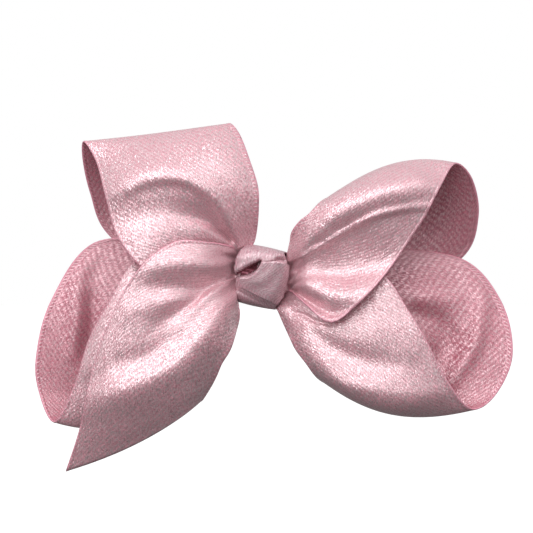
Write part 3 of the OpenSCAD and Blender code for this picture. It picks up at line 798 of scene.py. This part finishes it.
def knot_wrap(materials):
    """The short ribbon's turn round the gather, with a deep slit below its shoulder whose deepest
    faces take a painted shade.
    """
    depth, height = superellipse(full_turn(220), KNOT_POWER)
    t = np.linspace(0, 1, 61)
    w = KNOT_HALF_H * height
    front = smoothstep(0.5 + 0.8 * depth)
    left = np.interp(w, *zip(*KNOT_LEFT)) * front - KNOT_BACK_U * (1 - front)
    right = np.interp(w, *zip(*KNOT_RIGHT)) * front + KNOT_BACK_U * (1 - front)
    u = left[:, None] + (right - left)[:, None] * t[None, :]
    w = np.broadcast_to(w[:, None], u.shape)
    side = np.abs(2 * t - 1)
    facing = front[:, None]
    slit = facing * bump_along(u, w, SLIT, power=4)
    y = KNOT_MIDDLE_Y - KNOT_HALF_D * depth[:, None] * (1 - 0.2 * side**3)
    y = y - facing * SHOULDER_H * smoothstep((w - SHOULDER_SLOPE * u - SHOULDER_W) / SHOULDER_REACH)
    y = y + SLIT_DEPTH * slit
    for mark, line in KNOT_MARKS:
        y = y + facing * mark * bump_along(u, w, line)
    grid = at_gather(np.stack([u, y, w * (1 - 0.03 * side**2)], axis=2))
    half_t = np.interp(side, [0, 0.9, 1], [KNOT_HALF_T, KNOT_HALF_T, 0.12])
    piece = cloth("knot_wrap", grid, half_t, grid_uv(grid), materials, flip=True, round_way=True)
    per_row = 2 * len(t)
    # Faces deep in the slit take the second material, a painted shade
    for i, j in zip(*np.nonzero(slit[:, :-1] > SLIT_SHADE)):
        piece.data.polygons[i * per_row + 2 * j].material_index = 1
    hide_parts("knot_band")


ROLL_R = 0.5
ROLL_ANGLES = np.radians(np.arange(-130, 90, 20))
FLAP_Y = -14.7
FLAP_SLOPE = 2.9
FLAP_RISE = 0.5
FLAP_DOME = 0.35
FLAP_HALF_T = 0.17
TUCK_FROM = 0.72
TUCK_DEPTH = 1.92
CRUMPLE = 0.12


def knot_flap(materials):
    """The short ribbon's end across the knot's front, from its rolled rim to where it tucks in."""
    rim, side = interpolate(RIM, 6), interpolate(FLAP_SIDE, 6)
    t = np.linspace(0, 1, len(rim))[:, None]
    inward = side - rim
    inward /= np.linalg.norm(inward, axis=1, keepdims=True)
    front_y = FLAP_Y + FLAP_SLOPE * t
    rows = []
    for angle in ROLL_ANGLES:
        place = rim + inward * ROLL_R * (1 - math.cos(angle))
        rows.append(np.concatenate([place, front_y + ROLL_R * (1 - math.sin(angle))], axis=1))
    start = rim + inward * ROLL_R
    for f in np.linspace(0, 1, 34):
        arch = math.sin(math.pi * f)
        place = start + (side - start) * f
        place = place + np.array([0, FLAP_RISE]) * (1 - t) ** 3 * arch**2
        tuck = TUCK_DEPTH * (max(0, f - TUCK_FROM) / (1 - TUCK_FROM)) ** 2
        crumple = CRUMPLE * np.sin(9 * f + 5 * t) * arch
        rows.append(np.concatenate([place, front_y - FLAP_DOME * arch + tuck + crumple], axis=1))
    grid = at_gather(np.stack(rows, axis=1)[:, :, (0, 2, 1)])
    half_t = np.full(grid.shape[1], FLAP_HALF_T)
    piece = cloth("knot_flap", grid, half_t, grid_uv(grid), materials)
    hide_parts("knot_fold")


# ---- Small parts -----------------------------------------------------------------------
def loft(name, rings, materials, rides=True):
    """A closed solid through rings of points, with a flat fan over each end."""
    rings = np.asarray(rings, float)
    n, k = rings.shape[:2]
    points = np.concatenate([rings.reshape(-1, 3), rings[[0, -1]].mean(axis=1)])
    joined = np.concatenate([rings, rings[:, :1]], axis=1)
    around, along = lengths(joined, 1), lengths(joined, 0)
    faces, corners = [], []
    for i in range(n - 1):
        for j in range(k):
            q = [(i, j), (i, j + 1), (i + 1, j + 1), (i + 1, j)]
            faces.append([a * k + b % k for a, b in q])
            corners += [(along[a, b], around[a, b]) for a, b in q]
    for ring, centre, turn in ((0, n * k, -1), (n - 1, n * k + 1, 1)):
        for j in range(k):
            pair = [ring * k + j, ring * k + (j + 1) % k][::turn]
            faces.append(pair + [centre])
            corners += [(along[ring, j], around[ring, j])] * 3
    return mesh_object(name, points, faces, np.array(corners) * MM, [0] * len(faces), materials,
                       rides)


def wire(name, path, radius, sides, materials, rides=True):
    """A round wire along a path of points in mm."""
    path = np.asarray(path, float)
    way = np.gradient(path, axis=0)
    way /= np.linalg.norm(way, axis=1, keepdims=True)
    a = np.cross(way, (0, 0, 1))
    a /= np.linalg.norm(a, axis=1, keepdims=True)
    b = np.cross(way, a)
    turn = full_turn(sides)
    rings = path[:, None] + radius * (
        np.cos(turn)[None, :, None] * a[:, None] + np.sin(turn)[None, :, None] * b[:, None]
    )
    return loft(name, rings, materials, rides)


# The gathered layers' middle and half sizes, in mm
LAYERS_HALF_U = 5.3
LAYERS_Y = -6.3
LAYERS_HALF_D = 3.2
LAYERS_HALF_H = 5.2
LAYERS_POWER = 3.2


def gathered_layers(materials):
    """The crossing layers of ribbon pressed together, their pleats showing all round."""
    angle = full_turn(240)
    depth, height = superellipse(angle, LAYERS_POWER)
    rings = []
    for u in np.linspace(-LAYERS_HALF_U, LAYERS_HALF_U, 25):
        ridge = 1 + 0.035 * np.sin(22 * angle + 0.25 * u) + 0.02 * np.sin(9 * angle - 0.4 * u)
        size = (0.93 + 0.05 * (u / LAYERS_HALF_U) ** 2) * ridge
        points = [np.full_like(angle, u), LAYERS_Y - LAYERS_HALF_D * depth * size,
                  LAYERS_HALF_H * height * size]
        rings.append(at_gather(np.stack(points, axis=1)))
    piece = loft("gathered_layers", rings, materials)
    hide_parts("gathered_centre")


THREAD_R = 0.22
THREAD_TURNS = 7
THREAD_STEPS = 72
THREAD_HALF_U = 1.5
THREAD_HALF_D = 3.55
THREAD_HALF_H = 5.65


def thread_turns(material):
    """Thread wound side by side round the gather, one layer, each turn pulled a little askew."""
    angle = np.linspace(0, 2 * math.pi * THREAD_TURNS, THREAD_STEPS * THREAD_TURNS + 1)
    depth, height = superellipse(angle, 3.4)
    u = THREAD_HALF_U * (2 * angle / angle[-1] - 1) + 0.05 * np.sin(2.3 * angle)
    points = np.stack([u, LAYERS_Y - THREAD_HALF_D * depth, THREAD_HALF_H * height], axis=1)
    piece = wire("thread_turns", at_gather(points), THREAD_R, 8, [material])
    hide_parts("binding_thread")


# The glue's half width and height, and its rings as (y, share of that size)
GLUE_HALF_X = 6.0
GLUE_HALF_Z = 3.35
GLUE_RINGS = [(-4.3, 0.80), (-4.1, 0.88), (-3.7, 0.93), (-3.2, 0.90), (-2.6, 0.88),
              (-2.1, 0.93), (-1.75, 0.985), (-1.5, 0.97), (-1.42, 0.9)]


def glue_blob(material):
    """A squashed pad of hot glue, bulging where it was pressed between the knot and the clip."""
    angle = full_turn(96)
    c, s = superellipse(angle, 2.8)
    wobble = (1 + 0.03 * np.sin(3 * angle + 0.6) + 0.02 * np.sin(7 * angle)
              + 0.012 * np.sin(13 * angle))
    rings = [np.stack([GLUE_HALF_X * c * size * wobble, np.full_like(angle, y),
                       GLUE_HALF_Z * s * size * wobble], axis=1) for y, size in GLUE_RINGS]
    piece = loft("glue_blob", rings, [material])
    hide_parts("glue_pad")


LINING_X = (-22.0, 24.0)
LINING_W = 10.0
# Half of the lining's way across, from the middle of the lever over its edge, as (z, y) in mm
LINING_HALF = [(0, -1.22), (1.5, -1.21), (3, -1.22), (3.75, -1.22), (3.93, -1.14), (3.99, -0.96),
               (3.99, -0.7), (3.98, -0.45), (3.97, -0.15)]


def lining(materials):
    """Ten-millimetre ribbon glued along the clip's lever and folded over both its edges."""
    x = np.linspace(*LINING_X, 93)
    half = interpolate(LINING_HALF, 4)
    across = np.concatenate([half[::-1] * (-1, 1), half[1:]])
    places = np.linspace(0, LINING_W, len(across))
    wave = 0.03 * np.sin(0.9 * x)[:, None] * np.cos(0.7 * across[:, 0])[None, :]
    grid = np.stack(np.broadcast_arrays(x[:, None], across[:, 1] + wave, across[:, 0]), axis=2)
    uv = np.stack(np.broadcast_arrays((x - x[0])[:, None], places[None, :]), axis=2) * MM
    thick = np.interp(np.minimum(places, LINING_W - places), [0, 0.4, 0.9], [0.06, 0.13, 0.12])
    piece = cloth("clip_ribbon", grid, thick, uv, materials)
    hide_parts("clip_lining")


# ---- Spring: the same path as part.scad, in finer steps -----------------------------------
PIN = (8.5, 2.0)
COIL_R = 1.12
COIL_HALF = 1.3
HANDLE_ANGLE = math.radians(25)
WIRE_R = 0.22
WIRE_GAP = 0.03
SHEET_HALF_T = 0.2
TURNS = 3
LEG = 8.0


def spring(material):
    """The torsion spring: three and a half turns round the pin, with a leg along each lever."""
    x, y = PIN
    way = np.array([math.cos(HANDLE_ANGLE), math.sin(HANDLE_ANGLE), 0])
    side = np.array([-way[1], way[0], 0])
    sweep = -(2 * math.pi * TURNS + math.pi - HANDLE_ANGLE)
    f = np.linspace(0, 1, 121)
    angle = -math.pi / 2 + sweep * f
    coil = np.stack([x + COIL_R * np.cos(angle), y + COIL_R * np.sin(angle),
                     COIL_HALF * (2 * f - 1)], axis=1)
    across = (y - SHEET_HALF_T) * math.cos(HANDLE_ANGLE) - x * math.sin(HANDLE_ANGLE)
    lever_leg = -SHEET_HALF_T + WIRE_R + WIRE_GAP
    end = np.array([x, y, COIL_HALF])
    legs = ([[x + LEG, lever_leg, -COIL_HALF], [x + 5, lever_leg + 0.2, -COIL_HALF],
             [x + 2, lever_leg + 0.4, -COIL_HALF]],
            [end + 2 * way + (COIL_R + 0.2) * side,
             end + LEG * way + (-across - WIRE_R - WIRE_GAP) * side])
    path = np.concatenate([legs[0], coil, legs[1]])
    piece = wire("spring_wire", path, WIRE_R, 12, [material], rides=False)
    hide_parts("clip_spring")
    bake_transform(piece)


EDGE_R = 0.00012
EDGE_ANGLE = math.radians(40)


def dress_clip(plate, pin):
    """Metal on the CAD parts that stay, with their pressed edges rounded."""
    for name, material in (("clip_top_lever", plate), ("clip_lower_jaw", plate), ("clip_pin", pin)):
        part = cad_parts[name]
        part.data.materials.clear()
        part.data.materials.append(material)
        edges = part.modifiers.new("edges", "BEVEL")
        edges.width = EDGE_R
        edges.segments = 2
        edges.limit_method = "ANGLE"
        edges.angle_limit = EDGE_ANGLE
        edges.harden_normals = False


make_camera()
make_floor()
make_world()
make_lights()
RIBBON = make_ribbon_materials()
ribbon("ribbon_upper_left", UPPER_LEFT, "loop_upper_left", RIBBON, True, 8, seed=3)
ribbon("ribbon_lower_left", LOWER_LEFT, "loop_lower_left", RIBBON, False, 8, seed=5)
ribbon("ribbon_front_tail", FRONT_TAIL, "tail_front", RIBBON, False, 20, seed=7, ends=(0,))
ribbon("ribbon_upper_right", UPPER_RIGHT, "loop_upper_right", RIBBON, False, 8, seed=11)
ribbon("ribbon_lower_right", LOWER_RIGHT, "loop_lower_right", RIBBON, True, 8, seed=13)
ribbon("ribbon_back_tail", BACK_TAIL, "tail_back", RIBBON, True, 0, seed=17, ends=(0,))
# The knot's own satin is less shiny than the ribbon's face; its colour is also darkened as painted
# shade
KNOT_SATIN_AND_SHADE = ribbon_shader("knot_face_and_shade", yarn=(0.55, 0.26, 0.32, 1), lurex=(0.72, 0.56, 0.59, 1),
                      share=0.45, roughness=0.46, tilt=0.16)
# Painted shade: a dark wine cloth, darker than the ribbon really is, for the slit's deepest faces
# and for the gathered layers seen through it
KNOT_PAINTED_SHADE = ribbon_shader("knot_painted_shade", yarn=(0.24, 0.05, 0.075, 1), lurex=(0.40, 0.15, 0.19, 1),
                       share=0.05, roughness=0.7, tilt=0.1, specular=0.3)
LINING_FACE = ribbon_shader("lining_face", yarn=(0.66, 0.33, 0.40, 1), lurex=(0.85, 0.66, 0.70, 1),
                            share=0.2, roughness=0.45, tilt=0.2, width=LINING_W * MM)
# The gathered layers wear the painted shade
gathered_layers([KNOT_PAINTED_SHADE])
thread_turns(thread_shader())
knot_wrap([KNOT_SATIN_AND_SHADE, KNOT_PAINTED_SHADE, RIBBON[2]])
knot_flap([KNOT_SATIN_AND_SHADE, RIBBON[1], RIBBON[2]])
glue_blob(glue_shader())
lining([LINING_FACE, LINING_FACE, RIBBON[2]])
spring(metal_shader("spring_steel", colour=(0.42, 0.42, 0.43, 1), worn=(0.30, 0.30, 0.31, 1),
                    roughness=0.22, scratch=0.2))
dress_clip(metal_shader("clip_steel", colour=(0.74, 0.73, 0.72, 1), worn=(0.62, 0.61, 0.60, 1),
                        roughness=0.16, scratch=0.25),
           metal_shader("pin_steel", colour=(0.60, 0.59, 0.58, 1), worn=(0.46, 0.45, 0.45, 1),
                        roughness=0.24, scratch=0.2))
